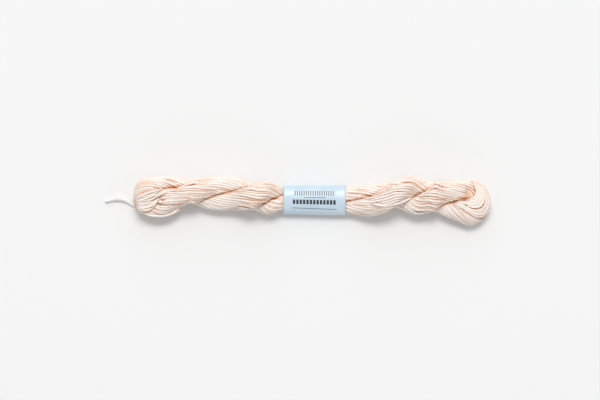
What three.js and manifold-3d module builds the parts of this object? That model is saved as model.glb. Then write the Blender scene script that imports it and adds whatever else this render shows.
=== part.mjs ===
// A twisted hank of silk yarn with a paper band and the end of its tie, lying on a table.
// Millimetres, +Z up. X runs along the hank, Y across it, and the table is the plane Z = 0.
import * as THREE from 'three';
import { mergeVertices } from 'three/addons/utils/BufferGeometryUtils.js';
import Module from 'manifold-3d';

// The pair of bundles before the edges below scale it: how far each bundle's middle lies from
// the hank's axis, and its half sizes away from the axis and round it.
const SPREAD = 4.7;
const SPREAD_AT_ENDS = 5.1;
const REACH = 9.9;
const ACROSS = 7.5;
const FLATTEN = 0.9;

// How square each bundle's inner side is, where it presses against the other one: 1 is round.
const PRESSED = 0.62;

// Where the loop turns back at each end, how far the turn leans, how square its outline is, and
// how far each half of the loop runs past the tip so that the halves join.
const LEFT_TURN_X = -92.2;
const RIGHT_TURN_X = 90.3;
const LEFT_LEAN = 5;
const RIGHT_LEAN = -5.6;
const LEFT_SQUARE = 0.07;
const RIGHT_SQUARE = 0.025;
const END_BLEND = 14;
const PAST_TIP = 12;

const STEP_ALONG = 2.8;
const STEPS_ROUND_TURN = 8;
const SIDES_ROUND = 16;
const BALL_SIDES = 16;
const BALL_RINGS = 10;
const ROOM = { length: 260, width: 80, height: 60 };

// Edges of the hank seen from above, with the height of its axis and how plump it is there.
const SECTIONS = [
  { x: -92.2, far: 14.35, near: -8.85, axis: 7.9, plump: 0.78 },
  { x: -86.0, far: 14.5, near: -8.9, axis: 7.0, plump: 0.82 },
  { x: -79.5, far: 14.3, near: -6.0, axis: 6.6, plump: 0.87 },
  { x: -70.8, far: 12.6, near: -1.9, axis: 8.3, plump: 0.99 },
  { x: -63.8, far: 13.8, near: -4.3, axis: 7.3, plump: 0.9 },
  { x: -56.3, far: 14.4, near: -5.7, axis: 5.9, plump: 0.82 },
  { x: -47.6, far: 14.4, near: -5.8, axis: 6.1, plump: 0.85 },
  { x: -40.0, far: 12.9, near: -5.9, axis: 8.0, plump: 0.97 },
  { x: -33.6, far: 10.1, near: -5.7, axis: 9.0, plump: 1.07 },
  { x: -25.5, far: 11.6, near: -8.1, axis: 7.5, plump: 0.98 },
  { x: -17.2, far: 8.0, near: -6.2, axis: 5.3, plump: 0.66 },
  { x: -7.0, far: 7.7, near: -5.8, axis: 4.8, plump: 0.48 },
  { x: 2.3, far: 7.7, near: -6.3, axis: 4.7, plump: 0.56 },
  { x: 11.0, far: 7.6, near: -6.6, axis: 4.8, plump: 0.48 },
  { x: 19.7, far: 8.2, near: -7.3, axis: 4.9, plump: 0.63 },
  { x: 27.8, far: 9.1, near: -8.7, axis: 5.6, plump: 0.78 },
  { x: 34.8, far: 9.9, near: -9.3, axis: 7.2, plump: 0.9 },
  { x: 42.3, far: 10.6, near: -7.1, axis: 8.6, plump: 1.02 },
  { x: 48.7, far: 12.3, near: -4.6, axis: 9.0, plump: 1.07 },
  { x: 55.7, far: 14.4, near: -7.1, axis: 7.7, plump: 0.99 },
  { x: 61.5, far: 13.8, near: -8.7, axis: 6.5, plump: 0.91 },
  { x: 70.8, far: 11.5, near: -6.8, axis: 8.1, plump: 0.98 },
  { x: 77.7, far: 11.5, near: -9.7, axis: 6.5, plump: 0.84 },
  { x: 84.7, far: 12.0, near: -12.3, axis: 5.3, plump: 0.81 },
  { x: 90.3, far: 12.3, near: -14.6, axis: 5.1, plump: 0.79 },
];

// Half turns of the two bundles round the axis, counted from the right end. At a whole number
// they lie side by side, and halfway between they lie one on the other.
const HALF_TURNS = [
  { x: -92.2, turns: 6.12 },
  { x: -86.0, turns: 5.98 },
  { x: -77.0, turns: 5.75 },
  { x: -68.5, turns: 5.5 },
  { x: -60.0, turns: 5.19 },
  { x: -52.0, turns: 5.01 },
  { x: -43.5, turns: 4.85 },
  { x: -37.0, turns: 4.62 },
  { x: -30.2, turns: 4.33 },
  { x: -22.5, turns: 4.02 },
  { x: -16.0, turns: 3.75 },
  { x: 3.0, turns: 2.92 },
  { x: 19.0, turns: 2.12 },
  { x: 27.0, turns: 1.95 },
  { x: 35.4, turns: 1.79 },
  { x: 43.0, turns: 1.6 },
  { x: 51.0, turns: 1.33 },
  { x: 59.5, turns: 1.01 },
  { x: 66.0, turns: 0.77 },
  { x: 70.0, turns: 0.57 },
  { x: 73.7, turns: 0.36 },
  { x: 78.3, turns: 0.16 },
  { x: 83.0, turns: 0.04 },
  { x: 90.3, turns: -0.08 },
];

// The sheaf of strands drawn through the left loop: its middle line and half sizes.
const SHEAF = [
  { x: -100.6, y: -3.4, z: 6.8, half: 2.6, thick: 2.4 },
  { x: -97.6, y: -3.2, z: 8.4, half: 4.0, thick: 3.3 },
  { x: -93.6, y: -1.0, z: 9.4, half: 4.7, thick: 3.6 },
  { x: -89.6, y: 2.2, z: 9.7, half: 4.6, thick: 3.6 },
  { x: -85.2, y: 5.2, z: 9.5, half: 3.9, thick: 3.2 },
  { x: -80.8, y: 7.2, z: 9.1, half: 3.1, thick: 2.7 },
  { x: -77.4, y: 8.2, z: 8.7, half: 2.0, thick: 2.0 },
];
const SHEAF_STEPS = 16;
const SHEAF_SIDES = 14;

// The eye of each turn is closed below its dimple, and the fold's cap stands over a recess.
const EYES = {
  left: { radius: 3.4, height: 3.9, aside: 0 },
  right: { radius: 6.6, height: 4.9, aside: -0.6 },
};
const RECESS = { x: 89.6, y: 4.4, z: 11.8, along: 5.0, across: 3.5, deep: 5.0, lean: -22 };

// The paper band: its ends, its outer half sizes, its wall and the gap that it keeps, and how the
// crease along its near side leans and lies.
const BAND = {
  left: -16.5, right: 19.4, y: 0.45, tilt: -0.35, halfLeft: 8.5, halfRight: 8.8,
  halfHeight: 4.85, axis: 4.7, square: 2.1, wall: 1.0, gap: 0.3, sides: 44, steps: 2,
  creaseLean: 65, creaseLeft: 7.25, creaseRise: 0.5,
};

// The tie: a two-ply thread, its middle line from the free end to the tucked end.
const THREAD = { diameter: 1.5, waist: 0.72, plyTurn: 3.4, sides: 8, steps: 76, lift: 0.02 };
const THREAD_RUN = [
  { x: -119.4, y: -0.9, z: 0.0 },
  { x: -118.4, y: -0.1, z: 0.0 },
  { x: -117.0, y: 0.45, z: 0.15 },
  { x: -115.2, y: 0.85, z: 0.5 },
  { x: -113.2, y: 1.1, z: 0.8 },
  { x: -111.2, y: 0.95, z: 0.85 },
  { x: -109.4, y: 0.4, z: 0.7 },
  { x: -107.7, y: -0.45, z: 0.4 },
  { x: -106.2, y: -1.4, z: 0.12 },
  { x: -104.6, y: -2.2, z: 0.0 },
  { x: -102.8, y: -2.75, z: 0.0 },
  { x: -100.8, y: -2.85, z: 0.0 },
  { x: -98.6, y: -2.35, z: 0.0 },
  { x: -96.4, y: -1.15, z: 0.0 },
  { x: -94.4, y: 0.4, z: 0.0 },
  { x: -92.5, y: 1.9, z: 0.0 },
  { x: -90.8, y: 3.3, z: 0.0 },
];

const wasm = await Module();
wasm.setup();

const radians = THREE.MathUtils.degToRad;

// A sine or cosine drawn out towards the corners of its square: a power of 1 leaves it round.
function squared(value, power) {
  return Math.sign(value) * Math.abs(value) ** power;
}

// Reads one column of a table at x, along a smooth curve through the rows on either side.
function readColumn(rows, column, x) {
  const last = rows.length - 1;
  if (x <= rows[0].x) return rows[0][column];
  if (x >= rows[last].x) return rows[last][column];
  let i = 0;
  while (rows[i + 1].x < x) i += 1;
  const slope = (k) => {
    const before = Math.max(k - 1, 0);
    const after = Math.min(k + 1, last);
    return (rows[after][column] - rows[before][column]) / (rows[after].x - rows[before].x);
  };
  const width = rows[i + 1].x - rows[i].x;
  const t = (x - rows[i].x) / width;
  const rise = rows[i + 1][column] - rows[i][column];
  const a = slope(i) * width - rise;
  const b = rise - slope(i + 1) * width;
  return rows[i][column] + t * rise + t * (1 - t) * (a * (1 - t) + b * t);
}

// The hank's frame at x: where its axis is, how its pair of bundles lies and how it is scaled.
function frameAt(x) {
  const far = readColumn(SECTIONS, 'far', x);
  const near = readColumn(SECTIONS, 'near', x);
  const turn = Math.PI * readColumn(HALF_TURNS, 'turns', x);
  const fromEnd = Math.min(x - LEFT_TURN_X, RIGHT_TURN_X - x);
  const blend = THREE.MathUtils.smoothstep(fromEnd, 0, END_BLEND);
  const spread = THREE.MathUtils.lerp(SPREAD_AT_ENDS, SPREAD, blend);
  const reach = REACH - spread;
  const c = Math.cos(turn);
  const s = Math.sin(turn);
  const plan = spread * Math.abs(c) + Math.hypot(reach * c, ACROSS * s);
  return {
    centre: new THREE.Vector3(x, (far + near) / 2, readColumn(SECTIONS, 'axis', x)),
    turn, spread, reach,
    planScale: (far - near) / 2 / plan,
    heightScale: FLATTEN * readColumn(SECTIONS, 'plump', x),
  };
}

// The places along one half of the loop: round the left turn, along the hank, round the right.
function loopStations() {
  const stations = [];
  const sweep = 90 + PAST_TIP;
  for (let i = 0; i < STEPS_ROUND_TURN; i += 1) {
    stations.push({ x: LEFT_TURN_X, heading: -sweep * (1 - i / STEPS_ROUND_TURN) });
  }
  const count = Math.round((RIGHT_TURN_X - LEFT_TURN_X) / STEP_ALONG);
  for (let i = 0; i <= count; i += 1) {
    stations.push({ x: THREE.MathUtils.lerp(LEFT_TURN_X, RIGHT_TURN_X, i / count), heading: 0 });
  }
  for (let i = 1; i <= STEPS_ROUND_TURN; i += 1) {
    stations.push({ x: RIGHT_TURN_X, heading: sweep * (i / STEPS_ROUND_TURN) });
  }
  return stations;
}

// A point of one bundle: side is 1 or -1, round is an angle in the section that keeps its
// direction as the bundles turn, out is 0 in the middle of the section and 1 on its rim.
function bundlePoint(station, side, round, out) {
  const frame = frameAt(station.x);
  const heading = radians(station.heading);
  const lean = radians(heading < 0 ? LEFT_LEAN : RIGHT_LEAN);
  const turn = frame.turn + lean * Math.min(1, Math.abs(heading) / (Math.PI / 2));
  const away = new THREE.Vector3(0, Math.cos(turn), Math.sin(turn)).multiplyScalar(side);
  away.multiplyScalar(Math.cos(heading)).add(new THREE.Vector3(Math.sin(heading), 0, 0));
  const about = new THREE.Vector3(0, -Math.sin(turn), Math.cos(turn));
  const level = round - side * frame.turn;
  const inner = THREE.MathUtils.clamp(-3 * Math.cos(level), 0, 1);
  const power = 1 - (1 - PRESSED) * inner;
  const along = squared(Math.cos(level), power);
  const up = squared(Math.sin(level), power);
  const offset = away.multiplyScalar(frame.spread + out * frame.reach * along);
  offset.addScaledVector(about, out * ACROSS * up);
  const square = heading < 0 ? LEFT_SQUARE : RIGHT_SQUARE;
  const plan = frame.planScale * (1 + square * Math.sin(2 * heading) ** 2);
  offset.x *= plan;
  offset.y *= plan;
  offset.z *= frame.heightScale;
  return offset.add(frame.centre);
}

// A closed round bar whose points are moved onto the sections that place gives.
function sweptBar(sides, steps, place) {
  const geometry = new THREE.CylinderGeometry(1, 1, 1, sides, steps);
  const position = geometry.getAttribute('position');
  for (let i = 0; i < position.count; i += 1) {
    const along = position.getY(i) + 0.5;
    const out = Math.hypot(position.getX(i), position.getZ(i));
    const round = Math.atan2(position.getZ(i), position.getX(i));
    const point = place(along * steps, round, out);
    position.setXYZ(i, point.x, point.y, point.z);
  }
  return geometry;
}

// Turns a geometry into a solid, with its faces pointing out.
function solidOf(geometry) {
  const bare = geometry.clone();
  bare.deleteAttribute('normal');
  bare.deleteAttribute('uv');
  const merged = mergeVertices(bare, 1e-5);
  const points = merged.getAttribute('position');
  const index = Uint32Array.from(merged.getIndex().array);
  const a = new THREE.Vector3();
  const b = new THREE.Vector3();
  const c = new THREE.Vector3();
  let volume = 0;
  for (let i = 0; i < index.length; i += 3) {
    a.fromBufferAttribute(points, index[i]);
    b.fromBufferAttribute(points, index[i + 1]);
    c.fromBufferAttribute(points, index[i + 2]);
    volume += a.dot(b.cross(c));
  }
  if (volume < 0) {
    for (let i = 0; i < index.length; i += 3) {
      [index[i + 1], index[i + 2]] = [index[i + 2], index[i + 1]];
    }
  }
  const vertProperties = Float32Array.from(points.array);
  return new wasm.Manifold(new wasm.Mesh({ numProp: 3, vertProperties, triVerts: index }));
}

// Turns a solid back into a geometry.
function geometryOf(solid) {
  const mesh = solid.getMesh();
  const geometry = new THREE.BufferGeometry();
  geometry.setAttribute('position', new THREE.BufferAttribute(mesh.vertProperties, 3));
  geometry.setIndex(new THREE.BufferAttribute(mesh.triVerts, 1));
  geometry.computeVertexNormals();
  return geometry;
}

// One half of the loop, from just past one tip to just past the other.
function bundleSolid(side) {
  const stations = loopStations();
  const place = (k, round, out) => bundlePoint(stations[Math.round(k)], side, round, out);
  return solidOf(sweptBar(SIDES_ROUND, stations.length - 1, place));
}

// A smooth curve through the x, y and z of a table's rows.
function curveThrough(rows) {
  const points = rows.map((row) => new THREE.Vector3(row.x, row.y, row.z));
  return new THREE.CatmullRomCurve3(points, false, 'centripetal');
}

// The sheaf: an oval bar along its own line, level from side to side.
function sheafSolid() {
  const curve = curveThrough(SHEAF);
  const place = (k, round, out) => {
    const t = k / SHEAF_STEPS;
    const centre = curve.getPoint(t);
    const run = curve.getTangent(t);
    const across = new THREE.Vector3(-run.y, run.x, 0).normalize();
    const up = new THREE.Vector3().crossVectors(run, across);
    const half = readColumn(SHEAF, 'half', centre.x);
    const thick = readColumn(SHEAF, 'thick', centre.x);
    centre.addScaledVector(across, out * half * Math.cos(round));
    return centre.addScaledVector(up, out * thick * Math.sin(round));
  };
  return solidOf(sweptBar(SHEAF_SIDES, SHEAF_STEPS, place));
}

// The filling below the dimple in the eye of a turn.
function eyeSolid(x, eye) {
  const frame = frameAt(x);
  const ball = new THREE.SphereGeometry(1, BALL_SIDES, BALL_RINGS);
  ball.rotateX(Math.PI / 2);
  ball.scale(eye.radius, eye.radius, eye.height);
  ball.translate(frame.centre.x, frame.centre.y + eye.aside, frame.centre.z);
  return solidOf(ball);
}

// The hollow under the edge of the fold's cap, leaning back below it.
function recessSolid() {
  const ball = new THREE.SphereGeometry(1, BALL_SIDES, BALL_RINGS);
  ball.rotateX(Math.PI / 2);
  ball.scale(RECESS.along, RECESS.across, RECESS.deep);
  ball.rotateY(radians(RECESS.lean));
  ball.translate(RECESS.x, RECESS.y, RECESS.z);
  return solidOf(ball);
}

// The outline of the band, or of the room inside it, at a place along the band from 0 to 1.
function bandPoint(along, round, inset) {
  const half = THREE.MathUtils.lerp(BAND.halfLeft, BAND.halfRight, along) - inset;
  const height = BAND.halfHeight - inset;
  const power = 2 / BAND.square;
  const c = Math.cos(round);
  const s = Math.sin(round);
  const flat = half * squared(c, power);
  const tall = height * squared(s, power);
  const lean = radians(BAND.creaseLean);
  const away = tall * Math.cos(lean) - flat * Math.sin(lean) + inset;
  const over = Math.max(0, away - BAND.creaseLeft - BAND.creaseRise * along);
  const y = BAND.y + BAND.tilt * (along - 0.5) + flat + over * Math.sin(lean);
  const z = BAND.axis + tall - over * Math.cos(lean);
  return new THREE.Vector3(0, y, Math.max(z, inset));
}

// The corners of an even polygon round the origin.
function polygon(sides, radius) {
  const points = [];
  for (let i = 0; i < sides; i += 1) {
    const round = (2 * Math.PI * i) / sides;
    points.push(new THREE.Vector2(radius * Math.cos(round), radius * Math.sin(round)));
  }
  return points;
}

// A ring or a plug with the band's outline, as long as the band plus more at each end. It starts
// as an extruded polygon whose outer rim has radius 2 and whose inner rim has radius 1.
function bandBlank(inset, hole, more) {
  const shape = new THREE.Shape(polygon(BAND.sides, 2));
  if (hole) shape.holes.push(new THREE.Path(polygon(BAND.sides, 1)));
  const length = BAND.right - BAND.left + 2 * more;
  const geometry = new THREE.ExtrudeGeometry(shape, {
    depth: 1, steps: BAND.steps, bevelEnabled: false,
  });
  const position = geometry.getAttribute('position');
  for (let i = 0; i < position.count; i += 1) {
    const along = position.getZ(i);
    const round = Math.atan2(position.getY(i), position.getX(i));
    const outer = Math.hypot(position.getX(i), position.getY(i)) > 1.5;
    const point = bandPoint(along, round, outer ? inset : inset + BAND.wall);
    position.setXYZ(i, BAND.left - more + along * length, point.y, point.z);
  }
  return geometry;
}

// What the band's wall and gap take away from the yarn: all but the room inside.
function squeezeSolid() {
  const length = BAND.right - BAND.left + 2 * BAND.gap;
  const block = new THREE.BoxGeometry(length, ROOM.width, ROOM.height);
  block.translate((BAND.left + BAND.right) / 2, 0, 0);
  return solidOf(block).subtract(solidOf(bandBlank(BAND.wall + BAND.gap, false, 2 * BAND.gap)));
}

// The wound yarn: two bundles, the sheaf and the eyes in one, resting on its flat spots.
function hankGeometry() {
  let hank = bundleSolid(1).add(bundleSolid(-1));
  hank = hank.add(eyeSolid(LEFT_TURN_X, EYES.left)).add(eyeSolid(RIGHT_TURN_X, EYES.right));
  hank = hank.add(sheafSolid());
  hank = hank.subtract(recessSolid()).subtract(squeezeSolid());
  const room = new THREE.BoxGeometry(ROOM.length, ROOM.width, ROOM.height);
  room.translate(0, 0, ROOM.height / 2);
  return geometryOf(hank.intersect(solidOf(room)));
}

// The tie: a tube along its run, with its two plies raised in its points.
function threadGeometry() {
  const radius = THREAD.diameter / 2;
  const rows = THREAD_RUN.map((row) => ({ ...row, z: row.z + radius + THREAD.lift }));
  const curve = curveThrough(rows);
  const section = new THREE.Shape(polygon(THREAD.sides, radius));
  const geometry = new THREE.ExtrudeGeometry(section, {
    steps: THREAD.steps, extrudePath: curve, bevelEnabled: false,
  });
  const length = curve.getLength();
  const places = curve.getSpacedPoints(THREAD.steps);
  const frames = curve.computeFrenetFrames(THREAD.steps, false);
  const position = geometry.getAttribute('position');
  const point = new THREE.Vector3();
  for (let i = 0; i < position.count; i += 1) {
    point.fromBufferAttribute(position, i);
    let nearest = 0;
    for (let k = 1; k <= THREAD.steps; k += 1) {
      if (point.distanceToSquared(places[k]) < point.distanceToSquared(places[nearest])) {
        nearest = k;
      }
    }
    const spoke = point.clone().sub(places[nearest]);
    const round = Math.atan2(spoke.dot(frames.binormals[nearest]),
      spoke.dot(frames.normals[nearest]));
    const twist = (2 * Math.PI * length * nearest) / THREAD.steps / THREAD.plyTurn;
    const share = THREAD.waist + (1 - THREAD.waist) * Math.abs(Math.cos(round - twist));
    point.copy(places[nearest]).addScaledVector(spoke, share);
    position.setXYZ(i, point.x, point.y, point.z);
  }
  return geometry;
}

const silk = new THREE.MeshStandardMaterial({ color: 0xefdccb, roughness: 0.55, metalness: 0 });
const paper = new THREE.MeshStandardMaterial({ color: 0xb9d3ea, roughness: 0.7, metalness: 0 });
const cotton = new THREE.MeshStandardMaterial({ color: 0xf1efeb, roughness: 0.85, metalness: 0 });

const part = new THREE.Group();
const hank = new THREE.Mesh(hankGeometry(), silk);
hank.name = 'hank';
const band = new THREE.Mesh(bandBlank(0, true, 0), paper);
band.name = 'paper_band';
const thread = new THREE.Mesh(threadGeometry(), cotton);
thread.name = 'tie_thread';
part.add(hank, band, thread);

export default part;
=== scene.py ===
"""Dresses the twisted hank of silk yarn: its strands, its paper band and the end of its tie.

Tables and sizes are in millimetres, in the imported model's frame: X runs along the hank, Y across
it and Z up from the table. They are turned to metres where a curve or a mesh is made.
"""
import logging
import math
import random
from dataclasses import dataclass, field
from enum import Enum
from typing import Any, NamedTuple, Sequence

import bmesh
import bpy
import numpy as np
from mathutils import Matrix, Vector


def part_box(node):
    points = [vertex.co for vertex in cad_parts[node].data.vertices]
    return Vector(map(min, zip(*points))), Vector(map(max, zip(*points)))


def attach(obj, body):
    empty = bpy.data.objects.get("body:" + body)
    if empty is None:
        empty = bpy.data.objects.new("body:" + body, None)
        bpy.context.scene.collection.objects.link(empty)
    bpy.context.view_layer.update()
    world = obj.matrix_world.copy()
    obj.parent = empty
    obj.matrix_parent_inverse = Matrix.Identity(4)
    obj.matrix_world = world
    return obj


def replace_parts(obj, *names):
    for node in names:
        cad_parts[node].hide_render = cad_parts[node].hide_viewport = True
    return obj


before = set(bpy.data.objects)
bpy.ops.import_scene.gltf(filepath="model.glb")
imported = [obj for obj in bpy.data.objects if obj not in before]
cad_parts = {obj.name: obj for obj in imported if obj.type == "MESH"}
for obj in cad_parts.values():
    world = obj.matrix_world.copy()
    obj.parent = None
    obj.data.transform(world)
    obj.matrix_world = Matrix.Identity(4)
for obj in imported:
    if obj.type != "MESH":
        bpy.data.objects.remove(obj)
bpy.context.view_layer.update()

LOG = logging.getLogger("hank")
MM = 0.001
GIRTH_ANGLES = np.linspace(0.0, 2 * math.pi, 73)


class Section(NamedTuple):
    """The hank's edges seen from above, the height of its axis and how plump it is at x."""

    x: float
    far: float
    near: float
    axis: float
    plump: float


class HalfTurn(NamedTuple):
    """How many half turns the two bundles have made round the axis at x."""

    x: float
    turns: float


class Lay(NamedTuple):
    """How much the strands turn back inside each bundle at x, as a share of its own turn."""

    x: float
    far: float
    near: float


class Guide(NamedTuple):
    """A place on a guide line: how far above the yarn a strand lies and how high at most."""

    x: float
    y: float
    lift: float
    most: float = 16.0


class Dent(NamedTuple):
    """A hollow between strands: its middle, its half sizes, its lean in degrees, its depth."""

    x: float
    y: float
    along: float
    across: float
    lean: float
    deep: float


class Place(NamedTuple):
    """A place on a strand or on the tie."""

    x: float
    y: float
    z: float


class Mark(NamedTuple):
    """A row of printed marks: its edges on the band, its pitch, each mark's width, its fall."""

    left: float
    right: float
    top: float
    foot: float
    pitch: float
    width: float
    fall: float


class Lamp(NamedTuple):
    """A soft lamp: its place, how wide and how deep its face is, and its power."""

    name: str
    place: tuple[float, float, float]
    wide: float
    deep: float
    power: float


MARKS = (
    Mark(6.4, 29.9, -5.445, -2.723, 1.3, 0.65, 0.0),
    Mark(11.8, 24.5, -1.787, -1.276, 0.9, 0.6, 0.0),
    Mark(5.4, 30.7, -0.34, 2.297, 1.95, 1.4, 0.0085),
    Mark(5.2, 30.8, 4.424, 4.807, 1.1, 0.95, 0.0255),
)

LAMPS = (
    Lamp("window", (0.0, 3000.0, 5200.0), 3200.0, 2000.0, 196.0),
    Lamp("far_wall", (0.0, 3200.0, 2600.0), 4800.0, 4800.0, 45.0),
    Lamp("reflector", (0.0, -2400.0, 520.0), 3600.0, 900.0, 10.0),
)

SECTIONS = [Section(*row) for row in (
    (-92.2, 14.35, -8.85, 7.9, 0.78),
    (-86.0, 14.5, -8.9, 7.0, 0.82),
    (-79.5, 14.3, -6.0, 6.6, 0.87),
    (-70.8, 12.6, -1.9, 8.3, 0.99),
    (-63.8, 13.8, -4.3, 7.3, 0.9),
    (-56.3, 14.4, -5.7, 5.9, 0.82),
    (-47.6, 14.4, -5.8, 6.1, 0.85),
    (-40.0, 12.9, -5.9, 8.0, 0.97),
    (-33.6, 10.1, -5.7, 9.0, 1.07),
    (-25.5, 11.6, -8.1, 7.5, 0.98),
    (-17.2, 8.0, -6.2, 5.3, 0.66),
    (-7.0, 7.7, -5.8, 4.8, 0.48),
    (2.3, 7.7, -6.3, 4.7, 0.56),
    (11.0, 7.6, -6.6, 4.8, 0.48),
    (19.7, 8.2, -7.3, 4.9, 0.63),
    (27.8, 9.1, -8.7, 5.6, 0.78),
    (34.8, 9.9, -9.3, 7.2, 0.9),
    (42.3, 10.6, -7.1, 8.6, 1.02),
    (48.7, 12.3, -4.6, 9.0, 1.07),
    (55.7, 14.4, -7.1, 7.7, 0.99),
    (61.5, 13.8, -8.7, 6.5, 0.91),
    (70.8, 11.5, -6.8, 8.1, 0.98),
    (77.7, 11.5, -9.7, 6.5, 0.84),
    (84.7, 12.0, -12.3, 5.3, 0.81),
    (90.3, 12.3, -14.6, 5.1, 0.79),
)]

HALF_TURNS = [HalfTurn(*row) for row in (
    (-92.2, 6.12),
    (-86.0, 5.98),
    (-77.0, 5.75),
    (-68.5, 5.5),
    (-60.0, 5.19),
    (-52.0, 5.01),
    (-43.5, 4.85),
    (-37.0, 4.62),
    (-30.2, 4.33),
    (-22.5, 4.02),
    (-16.0, 3.75),
    (3.0, 2.92),
    (19.0, 2.12),
    (27.0, 1.95),
    (35.4, 1.79),
    (43.0, 1.6),
    (51.0, 1.33),
    (59.5, 1.01),
    (66.0, 0.77),
    (70.0, 0.57),
    (73.7, 0.36),
    (78.3, 0.16),
    (83.0, 0.04),
    (90.3, -0.08),
)]

LAYS = [Lay(*row) for row in (
    (-92.2, 0.9, 0.9),
    (-70.8, 0.6, 0.6),
    (-17.2, 0.6, 0.6),
    (19.7, 0.6, 0.6),
    (61.5, 0.6, 0.7),
    (70.8, 0.7, 1.1),
    (79.0, 0.7, 1.9),
    (90.3, 0.8, 2.6),
)]

DENTS = [Dent(*row) for row in (
    (91.6, 4.6, 3.0, 3.6, 0.0, 2.6),
    (-83.0, 7.1, 6.0, 1.0, 11.0, 2.6),
    (-88.4, -1.7, 2.4, 0.9, 4.0, 2.0),
)]

SHEAF_LOWER = [Guide(*row) for row in (
    (-99.0, -5.3, 0.3, 3.2),
    (-100.4, -5.3, 0.3, 6.0),
    (-100.9, -5.2, 0.3, 8.5),
    (-100.4, -5.2, 0.3, 11.0),
    (-98.6, -5.4, 0.3, 13.0),
    (-95.7, -5.3, 0.4),
    (-93.1, -4.3, 0.5),
    (-91.3, -2.6, 0.6),
    (-89.9, -0.3, 0.6),
    (-88.1, 2.1, 0.6),
    (-85.9, 4.3, 0.6),
    (-83.2, 5.5, 0.4),
    (-79.9, 5.9, 0.0),
    (-75.9, 5.3, -1.0),
)]

SHEAF_UPPER = [Guide(*row) for row in (
    (-101.2, -3.4, 0.3, 3.4),
    (-102.5, -1.9, 0.3, 6.4),
    (-102.7, -0.2, 0.3, 9.0),
    (-101.9, 1.3, 0.2, 11.5),
    (-99.8, 2.7, 0.2, 14.0),
    (-96.9, 3.7, 0.2),
    (-94.0, 4.6, 0.2),
    (-91.4, 5.3, 0.1),
    (-89.0, 6.0, 0.0),
    (-86.8, 6.7, -1.2),
    (-84.6, 7.2, -2.2),
    (-82.0, 7.4, -3.0),
    (-78.8, 7.4, -3.4),
    (-74.8, 7.2, -3.6),
)]

FAN_LOWER = [Guide(*row) for row in (
    (-90.5, -1.6, -2.0),
    (-88.5, -1.9, -0.4),
    (-86.4, -1.9, 0.1),
    (-82.4, -1.4, 0.2),
    (-77.7, -0.8, 0.1),
    (-72.0, 0.1, -0.8),
    (-68.0, 0.6, -2.4),
)]

FAN_UPPER = [Guide(*row) for row in (
    (-88.2, 2.5, -2.0),
    (-86.6, 3.4, -0.4),
    (-84.7, 4.0, 0.1),
    (-81.8, 4.4, 0.2),
    (-77.7, 4.5, 0.1),
    (-72.0, 4.3, -0.6),
    (-67.0, 4.0, -2.2),
)]

CAP_OUTER = [Guide(*row) for row in (
    (80.0, -2.8, -2.2),
    (82.9, -2.6, -0.6),
    (85.8, -3.8, 0.0),
    (89.3, -5.9, 0.1),
    (93.4, -8.0, 0.1),
    (97.4, -8.8, 0.1),
    (100.3, -7.8, 0.1),
    (102.2, -5.2, 0.1),
    (103.0, -1.7, 0.1),
    (102.4, 2.3, 0.1, 12.0),
    (101.3, 5.4, 0.1, 9.5),
    (100.4, 7.0, 0.1, 7.0),
    (100.0, 7.6, 0.1, 4.0),
)]

CAP_INNER = [Guide(*row) for row in (
    (84.1, -0.6, -1.4),
    (86.4, -0.3, -0.4),
    (88.7, 0.0, 0.0),
    (91.1, 0.3, 0.2),
    (93.1, 1.1, 0.3),
    (94.5, 2.5, 0.3),
    (95.2, 4.2, 0.2),
    (95.5, 5.9, 0.0),
    (95.0, 7.7, -0.3),
    (94.4, 9.1, -0.6, 12.0),
    (93.9, 10.0, -0.4, 9.5),
    (93.6, 10.4, 0.0, 7.0),
    (93.4, 10.7, 0.0, 4.0),
)]

LOOSE_LEFT = [Guide(*row) for row in (
    (-101.5, -4.4, -1.5, 8.0),
    (-99.6, -5.4, 0.2, 9.0),
    (-98.0, -6.2, 0.2, 9.4),
    (-95.7, -7.5, 0.2, 9.4),
    (-92.8, -8.6, 0.2, 9.2),
    (-89.3, -9.1, 0.2, 9.0),
    (-85.8, -8.8, 0.2, 9.0),
    (-82.4, -7.6, 0.2, 9.0),
    (-79.3, -6.2, 0.2, 8.4),
    (-76.0, -4.4, -1.5, 7.0),
)]

LOOSE_MIDDLE = [Guide(*row) for row in (
    (33.6, -1.7, -2.0),
    (36.5, -2.2, 0.1),
    (42.3, -2.7, 0.4),
    (48.1, -1.9, 0.5),
    (52.2, -0.6, 0.4),
    (55.7, 0.8, 0.2),
    (58.6, 2.4, -1.8),
)]

THREAD_RUN = [Place(*row) for row in (
    (-120.2, -0.5, 0.0),
    (-119.0, 0.1, 0.0),
    (-117.2, 0.6, 0.2),
    (-115.2, 1.05, 0.7),
    (-113.2, 1.3, 1.1),
    (-111.2, 1.1, 1.15),
    (-109.4, 0.6, 0.95),
    (-107.7, -0.2, 0.6),
    (-106.2, -1.2, 0.2),
    (-104.6, -2.1, 0.0),
    (-102.8, -2.75, 0.0),
    (-100.8, -2.85, 0.0),
    (-98.6, -2.35, 0.0),
    (-96.4, -1.15, 0.0),
    (-94.4, 0.4, 0.0),
    (-92.5, 1.9, 0.0),
    (-90.8, 3.3, 0.0),
)]


class Side(Enum):
    """Which of the two bundles a strand is in: the one that starts far off or near."""

    FAR = 1
    NEAR = -1


class Layer(Enum):
    """How deep a strand lies in its bundle."""

    OUTER = "outer"
    INNER = "inner"


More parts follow.
